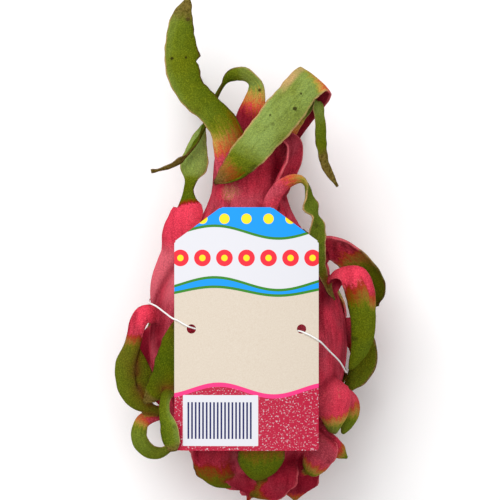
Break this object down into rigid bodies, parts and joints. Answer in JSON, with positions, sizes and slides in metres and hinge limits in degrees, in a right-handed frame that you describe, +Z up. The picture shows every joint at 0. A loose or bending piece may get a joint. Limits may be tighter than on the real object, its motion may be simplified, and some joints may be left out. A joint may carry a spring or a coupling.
{
  "type": "dragon fruit",
  "caption": "Whole dragon fruit lying on its back, with curling leaf-like scales, a plain swing tag on its belly and a loop of thin elastic that holds the tag",
  "frame": {"origin": "A point in the flat spot under the belly, which the fruit rests on, close to its centre of mass in plan", "axes": "+Y runs from the cut stem end to the crown of long scales, +Z is up through the belly and the tag, +X is to the right when seen from above with the crown away from the viewer"},
  "size_m": [0.1132, 0.2099, 0.0891],
  "materials": {
    "fruit_skin": "waxy pink-red fruit skin that turns green toward the tips of the scales",
    "tag_card": "printed thin card",
    "tag_string": "thin white covered elastic"
  },
  "bodies": {
    "root": {"dragon_fruit": "fruit_skin", "tag": "tag_card", "tag_string": "tag_string"}
  },
  "joints": []
}
